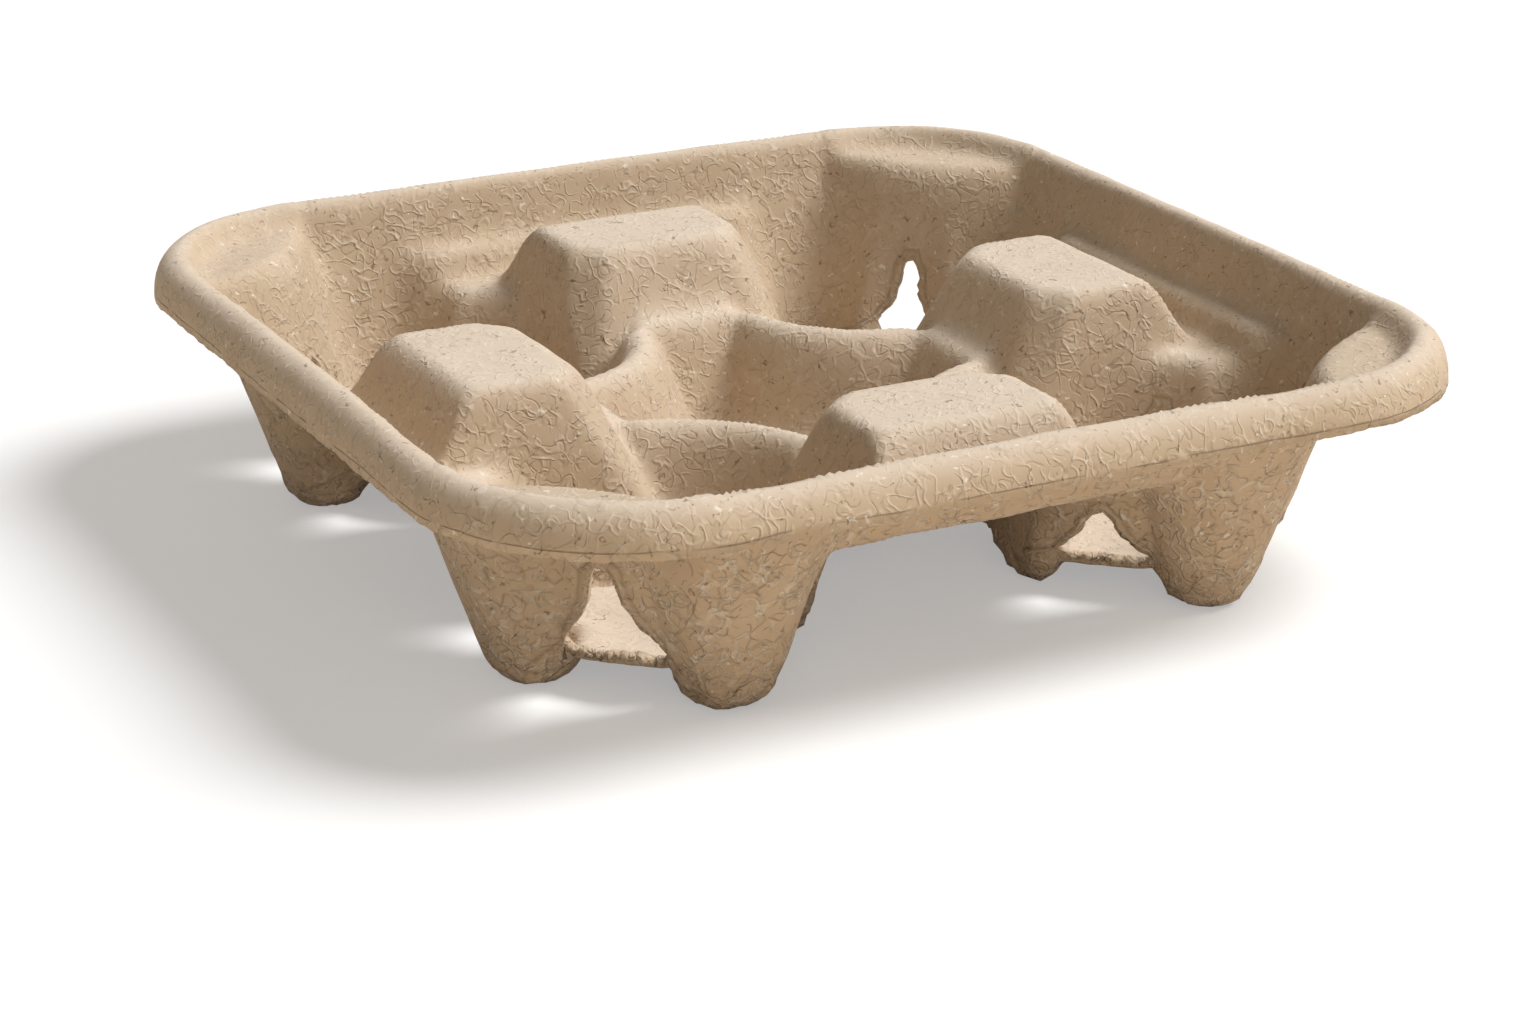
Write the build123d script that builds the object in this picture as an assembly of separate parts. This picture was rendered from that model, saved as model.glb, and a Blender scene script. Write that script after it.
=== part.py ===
"""Four-cup carrier moulded in one piece from a thin sheet of paper pulp.

The sheet is what lies between two faces: the upper face, on which the cups stand, and the
same face sunk by one sheet thickness. Each function below takes that depth, so both faces
come from the same sizes. Millimetres, Z up, origin on the ground under the middle.
"""
import os
from math import cos, radians, sqrt, tan

from build123d import *

# Whole tray
tray_side = 214.0
tray_height = 50.0
sheet = 2.0
draft = 18.0

# Rim: a rounded bead with a short skirt outside it
rim_corner_radius = 42.0
rim_width = 7.0
skirt_depth = 9.0
bead_outer_radius = 5.0
bead_inner_radius = 1.5

# Deck between the cups, with a ledge round it at the foot of the rim wall, both measured
# down from the crest of the rim
deck_drop = 19.0
ledge_drop = 13.0
ledge_width = 5.0

# Cup pockets
pocket_spacing = 104.0
cup_floor_height = 8.0
cup_floor_radius = 25.0
cup_floor_fillet = 3.0
lobe_shift = 7.0
lobe_radius = 21.5

# Legs: four half cones round each pocket, rounded at the foot
leg_offset = 26.5
leg_draft = 15.0
foot_radius = 10.0
foot_fillet = 3.5

# Windows between the legs: a slot with a round tip, measured down from the deck, that flares in
# its lower part to the cup floor
window_width = 30.0
slot_width = 5.0
corner_tip_drop = 6.0
side_tip_drop = 10.5
flare_share = 0.3
window_start = 22.0
window_end = 48.0

# Corner pillars, each with a flat shelf on top
shelf_drop = 4.5
pillar_reach = 33.5
pillar_radius = 45.0
pillar_draft = 8.0

# Humps at the middle of each side, their ends steeper below the deck to leave room for the legs
hump_drop = 5.0
hump_length = 41.0
hump_inner_edge = 51.0
hump_outer_edge = 77.0
hump_chamfer = 6.5
hump_corner_radius = 5.0
hump_fillet = 4.0
hump_end_draft = 16.0
hump_foot_draft = 3.0
hump_inner_draft = 25.0
hump_outer_draft = 30.0

# Central well, parted from the pockets by narrow ridges
well_floor_height = 8.0
ridge_width = 7.0

slope = tan(radians(draft))
half_side = tray_side / 2
pocket_centre = pocket_spacing / 2
deck_height = tray_height - deck_drop
ledge_height = tray_height - ledge_drop
hump_height = tray_height - hump_drop
rim_inside = half_side - rim_width
rim_inside_radius = rim_corner_radius - rim_width
top_margin = 10.0
ground_margin = 5.0
base = (Align.CENTER, Align.CENTER, Align.MIN)
pocket_signs = [(1, 1), (-1, 1), (-1, -1), (1, -1)]


def rounded_square(half, radius, height):
    """A square face with round corners, lying at a height."""
    return Pos(0, 0, height) * RectangleRounded(2 * half, 2 * half, radius)


def frustum(x, y, low, high, radius, taper, reference):
    """An upright cone with the given radius at the reference height, wider upwards by the taper."""
    low_radius = radius + taper * (low - reference)
    high_radius = radius + taper * (high - reference)
    return Pos(x, y, low) * Cone(low_radius, high_radius, high - low, align=base)


def rim_block(depth, bottom):
    """The whole tray as a plain block, its top edge rounded as the outside of the bead."""
    face = rounded_square(half_side - depth, rim_corner_radius - depth, bottom)
    block = extrude(face, tray_height - depth - bottom)
    top = block.faces().sort_by(Axis.Z)[-1]
    return fillet(top.edges(), bead_outer_radius - depth)


def basin(depth, inset, low):
    """The tapered hollow inside the rim, from a height to above the tray."""
    high = tray_height + top_margin
    grown = depth / cos(radians(draft)) - inset

    def level(z):
        shift = grown + slope * (z - tray_height)
        return rounded_square(rim_inside + shift, rim_inside_radius + shift, z)

    return loft([level(low), level(high)], ruled=True)


def leg(depth, x, y):
    """The hollow of one leg: a cone with a rounded foot."""
    low = sheet - depth
    grown = foot_radius - (sheet - depth) / cos(radians(leg_draft))
    hollow = frustum(x, y, low, tray_height + top_margin, grown, tan(radians(leg_draft)), 0)
    return fillet(hollow.edges().sort_by(Axis.Z)[0], foot_fillet + depth)


def cup_cone(depth, x, y, radius, rounding):
    """A round hollow down to the cup floor."""
    low = cup_floor_height - depth
    grown = radius + depth / cos(radians(draft))
    hollow = frustum(x, y, low, tray_height + top_margin, grown, slope, cup_floor_height)
    return fillet(hollow.edges().sort_by(Axis.Z)[0], rounding + depth)


def pocket(depth, sx, sy):
    """One cup pocket: a round floor, a lobe towards the middle of the tray and four legs."""
    x = sx * pocket_centre
    y = sy * pocket_centre
    lobe = pocket_centre - lobe_shift
    hollow = cup_cone(depth, x, y, cup_floor_radius, cup_floor_fillet)
    hollow += cup_cone(depth, sx * lobe, sy * lobe, lobe_radius, cup_floor_fillet)
    for dx, dy in [(1, 0), (0, 1), (-1, 0), (0, -1)]:
        hollow += leg(depth, x + dx * leg_offset, y + dy * leg_offset)
    return hollow


def hump(depth, turn):
    """A tapered block with a flat top and its two inner corners cut off."""

    def level(z):
        fall = hump_height - z
        foot = max(deck_height - z, 0)
        end = hump_length / 2 + (fall - foot) * tan(radians(hump_end_draft))
        end += foot * tan(radians(hump_foot_draft)) - depth / cos(radians(hump_end_draft))
        inner = hump_inner_edge - fall * tan(radians(hump_inner_draft))
        inner += depth / cos(radians(hump_inner_draft))
        outer = hump_outer_edge + fall * tan(radians(hump_outer_draft))
        outer -= depth / cos(radians(hump_outer_draft))
        cut = hump_chamfer
        outline = [
            (outer, -end), (outer, end), (inner + cut, end),
            (inner, end - cut), (inner, cut - end), (inner + cut, -end),
        ]
        face = make_face(Polyline(*outline, close=True))
        return Pos(0, 0, z) * fillet(face.vertices(), hump_corner_radius - depth)

    block = loft([level(-ground_margin), level(deck_height), level(hump_height - depth)], ruled=True)
    top = block.faces().sort_by(Axis.Z)[-1]
    return Rot(0, 0, turn) * fillet(top.edges(), hump_fillet - depth)


def pillar(depth, sx, sy):
    """A corner pillar, round towards the cup and flat on top."""
    axis = pocket_centre + (pillar_reach + pillar_radius) / sqrt(2)
    taper = -tan(radians(pillar_draft))
    top = tray_height - shelf_drop
    grown = pillar_radius - depth / cos(radians(pillar_draft))
    return frustum(sx * axis, sy * axis, -ground_margin, top - depth, grown, taper, top)


def well(depth):
    """The hollow in the middle, bounded by the outer faces of the ridges round the pockets."""
    low = well_floor_height - depth
    high = tray_height + top_margin
    reach = hump_inner_edge
    lobe = pocket_centre - lobe_shift
    hollow = Pos(0, 0, low) * Box(2 * reach, 2 * reach, high - low, align=base)
    ridge = lobe_radius + slope * (deck_height - cup_floor_height) + ridge_width
    for sx, sy in pocket_signs:
        grown = ridge - depth / cos(radians(draft))
        hollow -= frustum(sx * lobe, sy * lobe, low, high, grown, -slope, deck_height)
    return hollow


def upper_face(depth, bottom):
    """Everything below the face that lies the given depth under the upper side of the sheet."""
    hollow = Part() + [pocket(depth, sx, sy) for sx, sy in pocket_signs]
    hollow += well(depth)
    hollow &= basin(depth, 0, -ground_margin)
    hollow += basin(depth, ledge_width, deck_height - depth)
    hollow += basin(depth, 0, ledge_height - depth)
    for sx, sy in pocket_signs:
        hollow -= pillar(depth, sx, sy)
    for turn in (0, 90, 180, 270):
        hollow -= hump(depth, turn)
    body = rim_block(depth, bottom) - hollow
    crest = body.faces().sort_by(Axis.Z)[-1]
    return fillet(crest.inner_wires()[0].edges(), bead_inner_radius - depth / 2)


def window(sx, sy, angle, tip_drop):
    """A slot that flares downwards, cut through the wall of a pocket between two legs."""
    low = cup_floor_height
    high = deck_height - tip_drop
    edge = slot_width / 2
    shoulder = high - edge
    bend = low + flare_share * (high - low)
    sill = Line((-window_width / 2, low), (window_width / 2, low))
    right = Bezier((window_width / 2, low), (edge, bend), (edge, shoulder))
    tip = ThreePointArc((edge, shoulder), (0, high), (-edge, shoulder))
    left = Bezier((-edge, shoulder), (-edge, bend), (-window_width / 2, low))
    face = make_face([sill, right, tip, left])
    turned = Pos(sx * pocket_centre, sy * pocket_centre, 0) * Rot(0, 0, angle)
    plane = Plane(origin=(window_start, 0, 0), x_dir=(0, 1, 0), z_dir=(1, 0, 0))
    return turned * extrude(plane * face, window_end - window_start)


carrier = upper_face(0, 0) - upper_face(sheet, -ground_margin)
skirt_edge = tray_height - skirt_depth
outside = rounded_square(half_side + sheet, rim_corner_radius + sheet, 0)
inside = rounded_square(half_side - 2 * sheet, rim_corner_radius - 2 * sheet, 0)
carrier -= extrude(outside - inside, skirt_edge)
for corner, (sx, sy) in enumerate(pocket_signs):
    outward = 45 + 90 * corner
    carrier -= window(sx, sy, outward, corner_tip_drop)
    carrier -= window(sx, sy, outward - 90, side_tip_drop)
    carrier -= window(sx, sy, outward + 90, side_tip_drop)

os.makedirs("parts", exist_ok=True)
export_step(carrier, "parts/carrier_tray.step")
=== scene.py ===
import math

import bpy
import numpy as np
from mathutils import Matrix, Vector


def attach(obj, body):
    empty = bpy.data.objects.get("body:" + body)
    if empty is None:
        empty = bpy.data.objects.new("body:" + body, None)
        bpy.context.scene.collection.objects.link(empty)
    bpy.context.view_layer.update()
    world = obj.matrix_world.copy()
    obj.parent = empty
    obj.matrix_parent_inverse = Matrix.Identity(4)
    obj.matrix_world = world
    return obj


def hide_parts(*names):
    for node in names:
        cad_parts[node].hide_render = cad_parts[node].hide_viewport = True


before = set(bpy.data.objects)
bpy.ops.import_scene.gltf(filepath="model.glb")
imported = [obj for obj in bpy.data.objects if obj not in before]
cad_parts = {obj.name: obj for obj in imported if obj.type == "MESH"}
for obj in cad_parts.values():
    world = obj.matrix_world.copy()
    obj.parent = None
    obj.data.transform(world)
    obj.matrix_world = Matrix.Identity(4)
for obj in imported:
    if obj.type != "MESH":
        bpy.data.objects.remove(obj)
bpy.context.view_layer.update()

# The rim: a rounded bead round the top of the tray, with a tapered wall inside it and a short skirt
# outside, where the wet sheet was trimmed. The sizes of the carrier are in millimetres, and each crease
# is rounded over a height that its own value gives.
HALF_SIDE = 107.0
HEIGHT = 50.0
CORNER_RADIUS = 42.0
RIM_WIDTH = 7.0
SKIRT_DEPTH = 9.0
BEAD_RUN = 6.8
BEAD_POWER = 2.3
CREST_ROUND = 1.2
WALL_SLOPE = math.tan(math.radians(18))


def soft_min(a, b, blend):
    """The lower of two heights, with the crease between them rounded off over the blend height."""
    overlap = np.clip(blend - np.abs(a - b), 0, None) / blend
    return np.minimum(a, b) - overlap * overlap * blend / 4


def soft_max(a, b, blend):
    """The higher of two heights, with the crease between them rounded out over the blend height."""
    return -soft_min(-a, -b, blend)


def inside_outline(x, y):
    """How far a point lies inside the rim's rounded square outline, measured square to it."""
    qx = np.abs(x) - (HALF_SIDE - CORNER_RADIUS)
    qy = np.abs(y) - (HALF_SIDE - CORNER_RADIUS)
    corner = np.hypot(np.maximum(qx, 0), np.maximum(qy, 0))
    return CORNER_RADIUS - corner - np.minimum(np.maximum(qx, qy), 0)


def rim_wall(inside):
    """The inner wall: at crest height inside the rim's width, and lower inwards by the draft."""
    return HEIGHT + (RIM_WIDTH - inside) / WALL_SLOPE


def bead(inside):
    """The outside of the bead: from the skirt's edge up to the crest, fuller than an ellipse."""
    run = np.clip(inside / BEAD_RUN, 0, 1)
    return HEIGHT - SKIRT_DEPTH * (1 - (1 - (1 - run) ** BEAD_POWER) ** (1 / BEAD_POWER))


# The cup pockets: in each quarter a round hollow with a lobe towards the middle of the tray, and four
# hollow legs that stand below the cup floor and widen upwards into the wall.
SHEET = 2.0
POCKET = 52.0
CUP_FLOOR = 8.0
CUP_RADIUS = 25.0
LOBE = 45.0
LOBE_RADIUS = 21.5
LEG_OFFSET = 26.5
LEG_SLOPE = math.tan(math.radians(18.5))
LEG_RADIUS = 5.7
FLOOR_ROUND = 5.0
JOIN_ROUND = 4.0


def cup_pocket(ax, ay):
    """The lower of two cones and four leg cones, each with a flat floor, all joined by round creases."""

    def hollow(px, py, radius, slope, floor, start):
        distance = np.hypot(ax - px, ay - py)
        return soft_max(start + (distance - radius) / slope, np.full_like(ax, floor), FLOOR_ROUND)

    height = hollow(POCKET, POCKET, CUP_RADIUS, WALL_SLOPE, CUP_FLOOR, CUP_FLOOR)
    lobe = hollow(LOBE, LOBE, LOBE_RADIUS, WALL_SLOPE, CUP_FLOOR, CUP_FLOOR)
    height = soft_min(height, lobe, JOIN_ROUND)
    for dx, dy in ((1, 0), (0, 1), (-1, 0), (0, -1)):
        px, py = POCKET + dx * LEG_OFFSET, POCKET + dy * LEG_OFFSET
        height = soft_min(height, hollow(px, py, LEG_RADIUS, LEG_SLOPE, SHEET, 0), JOIN_ROUND)
    return height


# The middle: a deep well between four narrow ridges, which part it from the pockets and run out into
# level ledges at the humps. Round the pockets lies a deck, with a ledge a step higher at the foot of
# the rim wall.
WELL_FLOOR = 8.0
WELL_REACH = 31.0
WELL_END_SLOPE = math.tan(math.radians(18))
WELL_ROUND = 5.0
RIDGE_RADIUS = 36.0
RIDGE_ROUND = 3.0
DECK = 31.0
DECK_ROUND = 7.0
DECK_FOOT_ROUND = 4.0
LEDGE = 37.0
LEDGE_WIDTH = 5.0
LEDGE_ROUND = 2.5
WALL_FOOT_ROUND = 3.0


def well(ax, ay):
    """The floor of the well, raised by cones round the lobes of the pockets and by a slope at the ends
    of its arms."""
    height = np.full_like(ax, WELL_FLOOR)
    for px, py in ((LOBE, LOBE), (-LOBE, LOBE), (LOBE, -LOBE)):
        distance = np.hypot(ax - px, ay - py)
        height = soft_max(height, DECK + (RIDGE_RADIUS - distance) / WALL_SLOPE, WELL_ROUND)
    end = WELL_FLOOR + (np.maximum(ax, ay) - WELL_REACH) / WELL_END_SLOPE
    return soft_max(height, end, WELL_ROUND)


def deck_and_ledge(height, wall):
    """The hollows cut off at the deck, and the deck stepped up to the ledge and then to the rim wall."""
    deck = soft_max(np.full_like(wall, DECK), wall + LEDGE_WIDTH / WALL_SLOPE, DECK_FOOT_ROUND)
    ledge = soft_max(np.full_like(wall, LEDGE), wall, WALL_FOOT_ROUND)
    height = soft_max(height, wall, WALL_FOOT_ROUND)
    return soft_min(soft_min(height, deck, DECK_ROUND), ledge, LEDGE_ROUND)


# The corner pillars: a shelf a little below the crest in each corner, on a wall that is round towards
# the cup and flows softly into the shelf.
SHELF = 45.5
SHELF_ROUND = 22.0
PILLAR_AXIS = 107.5
PILLAR_RADIUS = 45.0
PILLAR_SLOPE = math.tan(math.radians(8))
PILLAR_FOOT_ROUND = 8.0


def pillar(ax, ay):
    """A steep cone about an axis outside the corner, cut off flat."""
    cone = SHELF + (PILLAR_RADIUS - np.hypot(ax - PILLAR_AXIS, ay - PILLAR_AXIS)) / PILLAR_SLOPE
    return soft_min(cone, np.full_like(ax, SHELF), SHELF_ROUND)


# The humps: a block with a flat top and drawn-in sides at the middle of each side, its two inner
# corners cut off, which keeps neighbouring cups apart.
HUMP = 45.0
HUMP_END = 20.5
HUMP_INNER = 51.0
HUMP_OUTER = 77.0
HUMP_CHAMFER = 6.5
END_SLOPE = math.tan(math.radians(16))
FOOT_SLOPE = math.tan(math.radians(4))
INNER_SLOPE = math.tan(math.radians(25))
OUTER_SLOPE = math.tan(math.radians(27))
HUMP_CORNER_ROUND = 3.0
HUMP_BACK_ROUND = 4.0
HUMP_TOP_ROUND = 5.0
HUMP_FOOT_ROUND = 6.0


def hump(ax, ay):
    """The lowest of the planes of its faces: the ends, steeper below the deck to leave room for the
    legs, the chamfers, the inner and outer sides and the flat top."""
    out, along = np.maximum(ax, ay), np.minimum(ax, ay)
    end_gap, inner_gap = HUMP_END - along, out - HUMP_INNER
    cut = (end_gap + inner_gap - HUMP_CHAMFER) / (END_SLOPE + INNER_SLOPE)
    foot_gap = end_gap + (HUMP - DECK) * END_SLOPE
    ends = np.minimum(HUMP + end_gap / END_SLOPE, DECK + foot_gap / FOOT_SLOPE)
    sides = soft_min(ends, HUMP + inner_gap / INNER_SLOPE, HUMP_CORNER_ROUND)
    sides = soft_min(sides, HUMP + (HUMP_OUTER - out) / OUTER_SLOPE, HUMP_BACK_ROUND)
    sides = soft_min(sides, HUMP + cut, HUMP_CORNER_ROUND)
    return soft_min(sides, np.full_like(ax, HUMP), HUMP_TOP_ROUND)


# The sheet: all of it is one skin of pulp, as thick in the floor as in the walls. A grid laid over the
# mould gives its upper side, and the same grid set down by the thickness gives the underside.
METRE = 0.001
GRID = 222
RELAX_ROUNDS = 500
SMOOTH_ROUNDS = 1
SMOOTH_SHARE = 0.5
TINY = 1e-6


def mould_height(x, y):
    """Height of the mould over a point of the ground, the same in all eight mirrored parts."""
    ax, ay = np.abs(x), np.abs(y)
    inside = inside_outline(x, y)
    height = soft_min(cup_pocket(ax, ay), well(ax, ay), RIDGE_ROUND)
    height = deck_and_ledge(height, rim_wall(inside))
    height = soft_max(height, pillar(ax, ay), PILLAR_FOOT_ROUND)
    height = soft_max(height, hump(ax, ay), HUMP_FOOT_ROUND)
    return soft_min(height, bead(inside), CREST_ROUND)


def outline_points(count):
    """Points along one side of the rounded square, from the middle of one corner to the middle of
    the next, spaced evenly along the line: half an arc, a straight and half an arc."""
    straight = HALF_SIDE - CORNER_RADIUS
    half_arc = CORNER_RADIUS * math.pi / 4
    s = np.linspace(-straight - half_arc, straight + half_arc, count)
    turn = np.clip((np.abs(s) - straight) / CORNER_RADIUS, 0, math.pi / 4)
    along = np.sign(s) * (np.minimum(np.abs(s), straight) + CORNER_RADIUS * np.sin(turn))
    out = straight + CORNER_RADIUS * np.cos(turn)
    return along, out


def relaxed_grid(count, rounds):
    """A square grid fitted into the outline. Each point moves to the mean of its neighbours, weighted
    by how much longer an edge is on the mould than in plan, so that steep walls draw in more rows."""
    along, out = outline_points(count)
    u = np.linspace(-1, 1, count) * out.mean()
    x, y = np.meshgrid(u, u, indexing="ij")
    x[:, 0], y[:, 0] = along, -out
    x[:, -1], y[:, -1] = along, out
    x[0, :], y[0, :] = -out, along
    x[-1, :], y[-1, :] = out, along
    for _ in range(rounds):
        z = mould_height(x, y)

        def stretch(axis):
            flat = np.hypot(np.diff(x, axis=axis), np.diff(y, axis=axis)) + TINY
            return np.hypot(1, np.diff(z, axis=axis) / flat)

        wu, wv = stretch(0), stretch(1)
        total = wu[:-1, 1:-1] + wu[1:, 1:-1] + wv[1:-1, :-1] + wv[1:-1, 1:]
        for p in (x, y):
            mean = wu[:-1, 1:-1] * p[:-2, 1:-1] + wu[1:, 1:-1] * p[2:, 1:-1]
            mean += wv[1:-1, :-1] * p[1:-1, :-2] + wv[1:-1, 1:] * p[1:-1, 2:]
            p[1:-1, 1:-1] = mean / total
    return np.stack([x, y, mould_height(x, y)], 2)


def smoothed(points, rounds):
    """The grid with each inner point moved a share of the way to the mean of its four neighbours."""
    for _ in range(rounds):
        mean = points[:-2, 1:-1] + points[2:, 1:-1] + points[1:-1, :-2] + points[1:-1, 2:]
        points[1:-1, 1:-1] += SMOOTH_SHARE * (mean / 4 - points[1:-1, 1:-1])
    return points


def unit(vectors):
    """The vectors of a grid, each brought to length one."""
    return vectors / np.linalg.norm(vectors, axis=2, keepdims=True)


def grid_normals(points):
    """Upward normals of a grid, from the cross product of its two directions. At the four corners the
    directions run along one line, so the next point inwards lends its normal."""
    normal = np.cross(np.gradient(points, axis=0), np.gradient(points, axis=1))
    normal[[0, 0, -1, -1], [0, -1, 0, -1]] = normal[[1, 1, -2, -2], [1, -2, 1, -2]]
    return unit(normal)


upper = smoothed(relaxed_grid(GRID, RELAX_ROUNDS), SMOOTH_ROUNDS)
normals = grid_normals(upper)

# Small faults of the real sheet: feet that were crushed a little while wet, walls that are not quite
# flat, and a trimmed edge that rises and falls.
WAVES = (
    ((0.9, 0.3, 0.6), 1.3),
    ((-0.685, 1.507, 0.548), 4.1),
    ((0.162, -0.567, 1.053), 2.2),
)
CRUSH_HEIGHT = 14.0
CRUSH_DEPTH = 0.8
CRUSH_LENGTHS = (7.0, 3.1)
CRUSH_FINE_SHARE = 0.6
WAVE_DEPTH = 0.12
WAVE_LENGTH = 23.0
TRIM_DEPTH = 0.3
TRIM_LENGTHS = (9.0, 2.3)
TRIM_FINE_SHARE = 0.5


def ripple(points, length):
    """A smooth irregular value from about -1 to 1: the mean of three sine waves, each with a direction
    and a start of its own."""
    turns = points * (2 * math.pi / length)
    return sum(np.sin(turns @ np.array(direction) + start) for direction, start in WAVES) / len(WAVES)


def uneven(points, lengths, fine_share):
    """A ripple with a share of a finer one on it."""
    return ripple(points, lengths[0]) + fine_share * ripple(points, lengths[1])


low = np.clip(1 - upper[..., 2] / CRUSH_HEIGHT, 0, 1)
not_level = 1 - normals[..., 2] ** 4
crush = CRUSH_DEPTH * low * not_level * uneven(upper, CRUSH_LENGTHS, CRUSH_FINE_SHARE)
wave = WAVE_DEPTH * ripple(upper, WAVE_LENGTH)
wave[[0, -1], :] = wave[:, [0, -1]] = 0
upper += (crush + wave)[..., None] * normals
for side in (np.s_[0, :], np.s_[-1, :], np.s_[:, 0], np.s_[:, -1]):
    upper[side][..., 2] += TRIM_DEPTH * uneven(upper[side], TRIM_LENGTHS, TRIM_FINE_SHARE)

# The windows: between the legs the sheet is left open, as a narrow slot at the top that spreads like a
# bell to the feet. The pulp tore there when the tray left its mould, so the edges are uneven, and the
# slots in the four corners, listed by the signs of x and y, differ in their tip and in their spread.
FLOOR_EDGE = 24.5
FLOOR_TEAR_SHARE = 0.5
FOOT_MARGIN = 0.8
WINDOW_END = 46.0
SIDE_TIP = 21.0
SIDE_SPREAD = 2.1
CORNER_SLOTS = {(-1, -1): (30.0, 2.1), (1, -1): (28.0, 2.1), (1, 1): (25.0, 3.8), (-1, 1): (23.5, 2.4)}
SLOT_HALF = 1.9
TIP_ROUND = 2.0
FLARE = 11.5
TEAR = 0.4
TEAR_LENGTHS = (5.3, 2.4)
TEAR_FINE_SHARE = 0.7
NO_WINDOW = -9.0


def window_depth(points):
    """How far a point is inside a window: under a bell-shaped curve about a diagonal of its pocket,
    outside the cup floor, and above the hollows of the feet. A ripple moves the edge in and out."""
    x, y, z = np.moveaxis(points, -1, 0)
    dx, dy = np.abs(x) - POCKET, np.abs(y) - POCKET
    radius = np.hypot(dx, dy)
    across = np.abs(np.abs(dx) - np.abs(dy)) / math.sqrt(2)
    tip, spread = np.full_like(z, SIDE_TIP), np.full_like(z, SIDE_SPREAD)
    for (sx, sy), (corner_tip, corner_spread) in CORNER_SLOTS.items():
        outward = (sx * x > POCKET) & (sy * y > POCKET)
        tip, spread = np.where(outward, corner_tip, tip), np.where(outward, corner_spread, spread)
    fall = np.clip(tip - z, 0, None)
    flare = FLARE * (fall / (tip - CUP_FLOOR)) ** spread
    half_width = SLOT_HALF * np.sqrt(np.clip(fall / TIP_ROUND, 0, 1)) + flare
    tear = TEAR * uneven(points, TEAR_LENGTHS, TEAR_FINE_SHARE)
    depth = np.minimum(half_width - across + tear, radius - FLOOR_EDGE + FLOOR_TEAR_SHARE * tear)
    depth = np.minimum(depth, np.minimum(tip - z, z - CUP_FLOOR + FOOT_MARGIN))
    depth = np.minimum(depth, WINDOW_END - radius)
    return np.where((dx < 0) & (dy < 0), NO_WINDOW, depth)


def cut_windows(points, depth):
    """Points inside a window and next to its edge move out along a grid line to the edge itself, and
    their normals turn with them. The points that stay inside are marked, so that their faces can be
    left out."""
    cut = depth > 0
    too_far = 2.0
    best = np.full(depth.shape, too_far)
    target = points.copy()
    for axis, step in ((0, 1), (0, -1), (1, 1), (1, -1)):
        other = np.roll(depth, -step, axis)
        other_points = np.roll(points, -step, axis)
        crosses = cut & (other <= 0)
        share = np.where(crosses, depth / np.where(crosses, depth - other, 1), too_far)
        nearer = share < best
        best = np.where(nearer, share, best)
        moved = points + share[..., None] * (other_points - points)
        target = np.where(nearer[..., None], moved, target)
    edge = cut & (best < too_far)
    return np.where(edge[..., None], target, points), cut & ~edge, edge


depth = window_depth(upper)
placed, gone, edge = cut_windows(np.concatenate([upper, normals], 2), depth)
upper, normals = placed[..., :3], unit(placed[..., 3:])
lower = upper - SHEET * normals
lower[..., 2] = np.maximum(lower[..., 2], 0)


def sheet_faces(gone, edge):
    """Quads of both sides of the sheet, and the quads that close its outer edge and its windows: one on
    each side of a quad that no other quad shares."""
    count = gone.shape[0]
    size = count * count
    index = np.arange(size).reshape(count, count)
    quads = np.stack([index[:-1, :-1], index[1:, :-1], index[1:, 1:], index[:-1, 1:]], 2).reshape(-1, 4)
    lost = gone.ravel()[quads].any(1) | edge.ravel()[quads].all(1)
    top = quads[~lost]
    sides = np.concatenate([top[:, [0, 1]], top[:, [1, 2]], top[:, [2, 3]], top[:, [3, 0]]])
    _, first, times = np.unique(np.sort(sides, 1), axis=0, return_index=True, return_counts=True)
    start, end = sides[first[times == 1]].T
    closing = np.stack([end, start, start + size, end + size], 1)
    return np.concatenate([top, top[:, ::-1] + size, closing])


def both_sides(values):
    """One value for each point of the upper side, followed by the same for the underside."""
    return np.concatenate([values.ravel(), values.ravel()])


used, faces = np.unique(sheet_faces(gone, edge), return_inverse=True)
corners = np.concatenate([upper.reshape(-1, 3), lower.reshape(-1, 3)]) * METRE
mesh = bpy.data.meshes.new("carrier_sheet")
mesh.from_pydata(corners[used].tolist(), [], faces.reshape(-1, 4).tolist())
mesh.shade_smooth()
point_values = {
    "facing": np.concatenate([normals[..., 2].ravel(), -normals[..., 2].ravel()]),
    "rim_gap": both_sides(inside_outline(upper[..., 0], upper[..., 1])),
    "window_gap": both_sides(-depth),
}
for name, values in point_values.items():
    attribute = mesh.attributes.new(name, "FLOAT", "POINT")
    attribute.data.foreach_set("value", values[used].astype(np.float32))
carrier = bpy.data.objects.new("carrier_sheet", mesh)
bpy.context.scene.collection.objects.link(carrier)
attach(carrier, "root")
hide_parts("carrier_tray")


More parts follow.
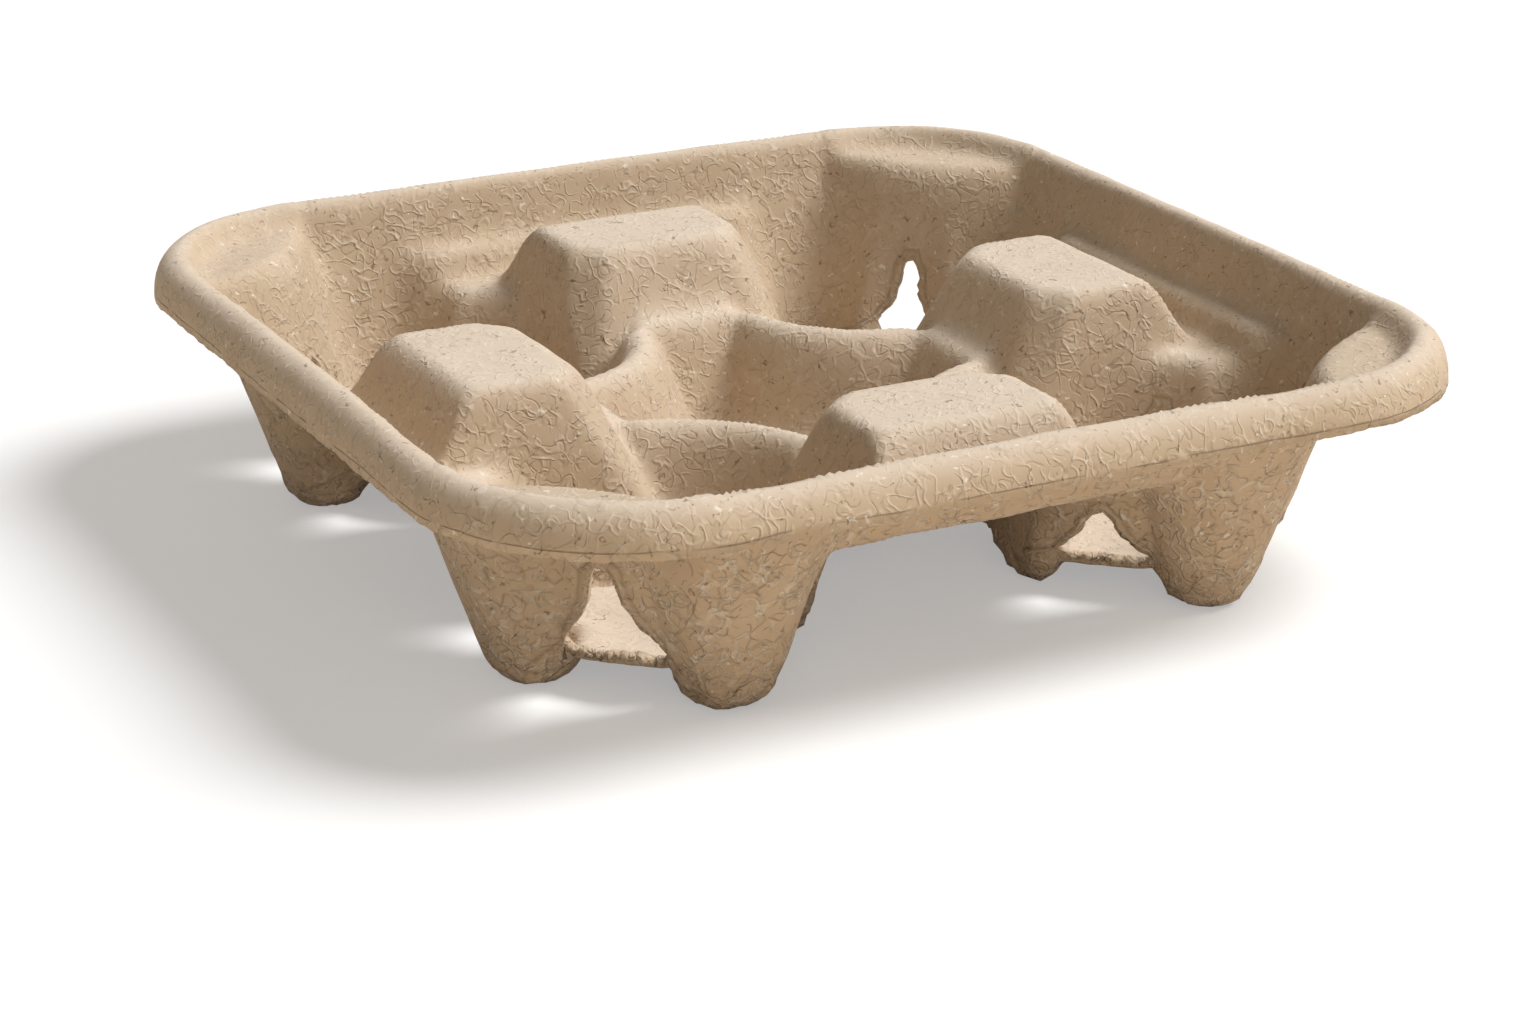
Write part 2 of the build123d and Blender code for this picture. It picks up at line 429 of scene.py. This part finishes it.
# The pulp: unbleached grey-brown fibre, dull, embossed all over with short curled strokes by the mesh of
# the mould, with dark and pale fibres in it. Its colour also holds painted light: faces that look up are
# painted paler, and painted shade darkens the seam line, the torn lines, the pressed strokes and the
# folds of the feet.
class Socket:
    """A node's output, with operators that add Math nodes, and one method that adds any other node."""

    def __init__(self, tree, socket):
        self.tree = tree
        self.socket = socket

    def node(self, kind, settings=None, output=0, **inputs):
        """A new node of a kind. An input is named, or is the letter i and its number."""
        made = self.tree.nodes.new(kind)
        for name, value in (settings or {}).items():
            setattr(made, name, value)
        for name, value in inputs.items():
            key = int(name[1:]) if name[0] == "i" and name[1:].isdigit() else name
            target = made.inputs[key]
            if isinstance(value, Socket):
                self.tree.links.new(value.socket, target)
            else:
                target.default_value = value
        return Socket(self.tree, made.outputs[output])

    def math(self, operation, first, second=0.0, clamp=False):
        settings = {"operation": operation, "use_clamp": clamp}
        return self.node("ShaderNodeMath", settings, i0=first, i1=second)

    def __add__(self, other):
        return self.math("ADD", self, other)

    __radd__ = __add__

    def __sub__(self, other):
        return self.math("SUBTRACT", self, other)

    def __rsub__(self, other):
        return self.math("SUBTRACT", other, self)

    def __mul__(self, other):
        return self.math("MULTIPLY", self, other)

    __rmul__ = __mul__

    def __truediv__(self, other):
        return self.math("DIVIDE", self, other)

    def size(self):
        """The value without its sign."""
        return self.math("ABSOLUTE", self)

    def kept(self):
        """The value kept between nought and one."""
        return self.math("ADD", self, 0.0, clamp=True)


def new_material(name):
    """A material with its shader, and a first socket to write expressions from."""
    material = bpy.data.materials.new(name)
    material.use_nodes = True
    tree = material.node_tree
    shader = tree.nodes["Principled BSDF"]
    place = tree.nodes.new("ShaderNodeTexCoord")
    return material, tree, shader, Socket(tree, place.outputs["Object"])


MIDDLE = 0.5
DOWNWARD_GAIN = -3
pulp, tree, shader, place = new_material("pulp")
carrier.data.materials.append(pulp)


def noise(scale, shift=0.0, detail=2.0, roughness=0.5, distortion=0.0):
    """Noise of a number of waves per metre, as a value about one half, from a shifted place."""
    offset = (shift, 2 * shift, -shift)
    moved = place.node("ShaderNodeVectorMath", {"operation": "ADD"}, i0=place, i1=offset)
    look = {"Scale": scale, "Detail": detail, "Roughness": roughness, "Distortion": distortion}
    return place.node("ShaderNodeTexNoise", Vector=moved, **look)


def band(value, middle, half_width):
    """One where a value is at the middle, falling to nought a half width away."""
    return (1 - (value - middle).size() / half_width).kept()


def above(value, threshold, gain):
    """Nought up to a threshold, and from there rising to one with a gain."""
    return ((value - threshold) * gain).kept()


def mixed(share, first, second):
    """A colour between two others."""
    return share.node("ShaderNodeMix", {"data_type": "RGBA"}, 2, i0=share, i6=first, i7=second)


def stored(name):
    """A value stored on the points of the mesh."""
    return place.node("ShaderNodeAttribute", {"attribute_name": name}, 2)


height_above = place.node("ShaderNodeSeparateXYZ", None, 2, Vector=place)
rim_gap = stored("rim_gap")
window_gap = stored("window_gap")
upward = stored("facing").kept()
upright = (1 - upward).kept()
outside = (stored("facing") * DOWNWARD_GAIN).kept()

# The strokes: some stand out and some are pressed in. Each row gives waves per metre, a shift of place,
# the half width in the noise and the level of a second noise below which the stroke breaks off.
RAISED_STROKES = ((300, 0.0, 0.065, 0.44), (380, 1.7, 0.075, 0.45))
PRESSED_STROKES = ((340, 3.1, 0.06, 0.46), (280, 4.9, 0.055, 0.47))
STROKE_CURL = 0.3
BREAK_SCALE = 0.7
BREAK_SHIFT = 0.3
BREAK_GAIN = 9


def strokes(scale, shift, half_width, share):
    """Short curled lines along the middle level of a noise, broken off where a second noise is low."""
    line = band(noise(scale, shift, detail=0.0, distortion=STROKE_CURL), MIDDLE, half_width)
    return line * above(noise(BREAK_SCALE * scale, shift + BREAK_SHIFT, detail=1.0), share, BREAK_GAIN)


raised = sum(strokes(*row) for row in RAISED_STROKES)
pressed = sum(strokes(*row) for row in PRESSED_STROKES)

# Marks of the mould and of the trimming: crumpled feet, a broken seam line along the lip, and a flange
# with a torn line round each window. Heights are in metres here, gaps in millimetres.
FOOT_RISE = 0.018
FOLD_HALF = 0.04
LIP_WIDTH = 1.6
SEAM_HEIGHT = 0.0425
SEAM_WANDER = 0.0012
SEAM_HALF = 0.00022
SEAM_BREAK = 0.4
TORN_GAP, TORN_HALF = 2.0, 0.6
FLANGE_GAP, FLANGE_HALF = 0.8, 0.8
foot = (1 - height_above / FOOT_RISE).kept() * upright
crumple = noise(scale=260, shift=5.5, detail=3.0, roughness=0.6, distortion=1.5)
wrinkles = (crumple - MIDDLE).size() * foot
folds = band(noise(scale=140, shift=11.9, distortion=1.0), MIDDLE, FOLD_HALF) * foot
on_lip = (LIP_WIDTH - rim_gap).kept() * upright
wander = (noise(scale=60, shift=6.1) - MIDDLE) * SEAM_WANDER
seam = band(height_above - wander, SEAM_HEIGHT, SEAM_HALF) * on_lip
seam = seam * above(noise(scale=90, shift=7.7), SEAM_BREAK, BREAK_GAIN)
torn = band(window_gap, TORN_GAP, TORN_HALF)
flange = band(window_gap, FLANGE_GAP, FLANGE_HALF)

# The colour: mottled fibre, with a painted highlight that makes the tops paler, less so on the corner
# shelves and the ledge; painted shade in the pressed strokes and a painted highlight on the raised ones,
# both stronger on the outer side; dark and pale flecks of fibre; and painted shade in the seam line, the
# torn lines and the folds of the feet.
FIBRE_DARK, FIBRE_PALE = (0.49, 0.36, 0.235, 1), (0.61, 0.475, 0.335, 1)
TOP_PAINTED_LIGHT = (0.80, 0.69, 0.575, 1)
STROKE_SHADE, STROKE_HIGHLIGHT = (0.20, 0.12, 0.06, 1), (0.85, 0.76, 0.64, 1)
FLECK_AND_SHADE_DARK, FLECK_PALE = (0.16, 0.09, 0.04, 1), (0.90, 0.84, 0.75, 1)
SHELF_GAP, SHELF_HALF, SHELF_FADE = 16, 6, 4
TOP_LIGHT_SHARE, SHELF_LESS_LIGHT = 0.65, 0.4
PRESSED_SHADE_SHARE, PRESSED_SHADE_OUTSIDE = 0.13, 0.09
RAISED_HIGHLIGHT_SHARE, RAISED_HIGHLIGHT_OUTSIDE = 0.18, 0.28
FLECK_SHARE, SEAM_SHADE_SHARE, TORN_SHADE_SHARE, FOLD_SHADE_SHARE = 0.6, 0.55, 0.3, 0.25
FLECK_LEVEL, PALE_LEVEL, FLECK_GAIN = 0.74, 0.77, 16
fleck = above(noise(scale=760, shift=8.2, detail=0.0, distortion=1.2), FLECK_LEVEL, FLECK_GAIN)
pale_fleck = above(noise(scale=800, shift=9.4, detail=0.0, distortion=0.6), PALE_LEVEL, FLECK_GAIN)
shelf = (1 - ((rim_gap - SHELF_GAP).size() - SHELF_HALF) / SHELF_FADE).kept()
# Painted shade: the seam line, the torn lines and the folds of the feet are darkened along with the dark
# flecks.
dark_fleck_and_shade = fleck * FLECK_SHARE + seam * SEAM_SHADE_SHARE + torn * TORN_SHADE_SHARE + folds * FOLD_SHADE_SHARE
colour = mixed(noise(scale=55, shift=10.3, detail=4.0, roughness=0.55), FIBRE_DARK, FIBRE_PALE)
# Painted highlight: faces that look up are made paler, less so on the shelves and the ledge.
colour = mixed(upward * upward * (TOP_LIGHT_SHARE - SHELF_LESS_LIGHT * shelf), colour, TOP_PAINTED_LIGHT)
# Painted shade in the pressed strokes and a painted highlight on the raised ones, more on the outer
# side.
colour = mixed((pressed * (PRESSED_SHADE_SHARE + PRESSED_SHADE_OUTSIDE * outside)).kept(), colour, STROKE_SHADE)
colour = mixed((raised * (RAISED_HIGHLIGHT_SHARE + RAISED_HIGHLIGHT_OUTSIDE * outside)).kept(), colour, STROKE_HIGHLIGHT)
colour = mixed(dark_fleck_and_shade.kept(), colour, FLECK_AND_SHADE_DARK)
colour = mixed((pale_fleck * FLECK_SHARE).kept(), colour, FLECK_PALE)
tree.links.new(colour.socket, shader.inputs["Base Color"])
shader.inputs["Roughness"].default_value = 0.85
shader.inputs["Specular IOR Level"].default_value = 0.25
shader.inputs["Sheen Weight"].default_value = 0.15
shader.inputs["Sheen Roughness"].default_value = 0.5

# The relief: the strokes, a fine grain and slow lumps, with the marks above. The strokes are calmer on
# the tops and along the crest. Its heights are in steps of a fifth of a millimetre.
RELIEF_STEP = 0.0002
CREST_START, CREST_RISE = 0.046, 0.003
TOP_CALM, CREST_CALM, OUTSIDE_BOOST = 0.5, 0.6, 0.8
RAISED_HEIGHT, PRESSED_DEPTH = 0.85, 0.55
GRAIN_HEIGHT, LUMP_HEIGHT = 0.25, 0.4
WRINKLE_HEIGHT, FOLD_DEPTH = 10.0, 2.5
FLANGE_HEIGHT, SEAM_DEPTH = 1.5, 1.2
grain = noise(scale=1500, shift=0.7, detail=3.0, roughness=0.6)
lumps = noise(scale=110, shift=2.3)
crest = ((height_above - CREST_START) / CREST_RISE).kept()
strength = (1 - TOP_CALM * (upward * upward)) * (1 - CREST_CALM * crest) * (1 + OUTSIDE_BOOST * outside)
relief = (raised * RAISED_HEIGHT - pressed * PRESSED_DEPTH) * strength
relief = relief + grain * GRAIN_HEIGHT + lumps * LUMP_HEIGHT
relief = relief + wrinkles * WRINKLE_HEIGHT - folds * FOLD_DEPTH
relief = relief + flange * FLANGE_HEIGHT - torn - seam * SEAM_DEPTH
bump = place.node("ShaderNodeBump", Strength=1.0, Distance=RELIEF_STEP, Height=relief)
tree.links.new(bump.socket, shader.inputs["Normal"])

# The floor: a plain white sweep that takes the carrier's shadow. The camera sees it white, and the light
# that it throws back on the legs is a little warm.
FLOOR_HALF = 2.5
FLOOR_WHITE = (0.66, 0.66, 0.66, 1)
FLOOR_BOUNCE = (0.90, 0.79, 0.65, 1)
FLOOR_GLOW = 0.36
BLACK, WHITE = (0, 0, 0, 1), (1, 1, 1, 1)


def seen_white(start):
    """One for rays of the camera and of mirror-like surfaces, and none for those that carry light."""
    kinds = ("Is Camera Ray", "Is Glossy Ray", "Is Transmission Ray")
    direct, glossy, through = (start.node("ShaderNodeLightPath", None, kind) for kind in kinds)
    return (direct + glossy + through).kept()


floor_corners = [(x * FLOOR_HALF, y * FLOOR_HALF, 0) for x, y in ((-1, -1), (1, -1), (1, 1), (-1, 1))]
floor_mesh = bpy.data.meshes.new("floor")
floor_mesh.from_pydata(floor_corners, [], [(0, 1, 2, 3)])
floor = bpy.data.objects.new("floor", floor_mesh)
bpy.context.scene.collection.objects.link(floor)
white, floor_tree, floor_shader, floor_place = new_material("white_floor")
seen = seen_white(floor_place)
floor_tree.links.new(mixed(seen, FLOOR_BOUNCE, FLOOR_WHITE).socket, floor_shader.inputs["Base Color"])
floor_tree.links.new(mixed(seen, BLACK, WHITE).socket, floor_shader.inputs["Emission Color"])
floor_shader.inputs["Emission Strength"].default_value = FLOOR_GLOW
floor_shader.inputs["Roughness"].default_value = 1.0
floor_shader.inputs["Specular IOR Level"].default_value = 0.0
floor.data.materials.append(white)

# Studio light: one large soft lamp high on the right, a faint low one from the front, and a dim warm
# surround that the camera sees as white.
SURROUND = 0.20
SURROUND_COLOUR = (1.0, 0.91, 0.78, 1)


def far_lamp(name, toward, power, spread):
    """A lamp far away in a direction, with the angle it spans in the sky."""
    data = bpy.data.lights.new(name, "SUN")
    data.energy = power
    data.angle = math.radians(spread)
    lamp = bpy.data.objects.new(name, data)
    lamp.rotation_euler = (-Vector(toward)).to_track_quat("-Z", "Y").to_euler()
    bpy.context.scene.collection.objects.link(lamp)


far_lamp("key", toward=(0.60, -0.18, 0.78), power=3.35, spread=28)
far_lamp("fill", toward=(-0.25, -0.93, 0.27), power=0.37, spread=40)
world = bpy.data.worlds.new("surround")
world.use_nodes = True
bpy.context.scene.world = world
background = world.node_tree.nodes["Background"]
sky_seen = seen_white(Socket(world.node_tree, background.outputs[0]))
sky = mixed(sky_seen, SURROUND_COLOUR, WHITE)
level = sky_seen * (1 - SURROUND) + SURROUND
world.node_tree.links.new(sky.socket, background.inputs["Color"])
world.node_tree.links.new(level.socket, background.inputs["Strength"])

# The photograph's camera, from a fit to the rim, the humps and the feet: it looks down on the front left
# corner from a direction and a distance off the middle of the crest.
AZIMUTH = math.radians(-27.74)
ELEVATION = math.radians(20.88)
DISTANCE = 0.708
ASIDE = 0.002
BELOW = 0.0462
FOCAL_PIXELS = 3523.0
IMAGE_WIDTH = 1536.0
SENSOR = 36.0
NEAREST = 0.01
level_back = math.cos(ELEVATION)
back = Vector((math.sin(AZIMUTH) * level_back, -math.cos(AZIMUTH) * level_back, math.sin(ELEVATION)))
right = Vector((math.cos(AZIMUTH), math.sin(AZIMUTH), 0))
up = back.cross(right)
eye = Vector((0, 0, HEIGHT * METRE)) + back * DISTANCE - right * ASIDE - up * BELOW
camera_data = bpy.data.cameras.new("camera")
camera_data.sensor_width = SENSOR
camera_data.lens = SENSOR * FOCAL_PIXELS / IMAGE_WIDTH
camera_data.clip_start = NEAREST
camera = bpy.data.objects.new("camera", camera_data)
bpy.context.scene.collection.objects.link(camera)
camera.matrix_world = Matrix.Translation(eye) @ Matrix((right, up, back)).transposed().to_4x4()
bpy.context.scene.camera = camera

bpy.context.scene.view_settings.view_transform = "Standard"
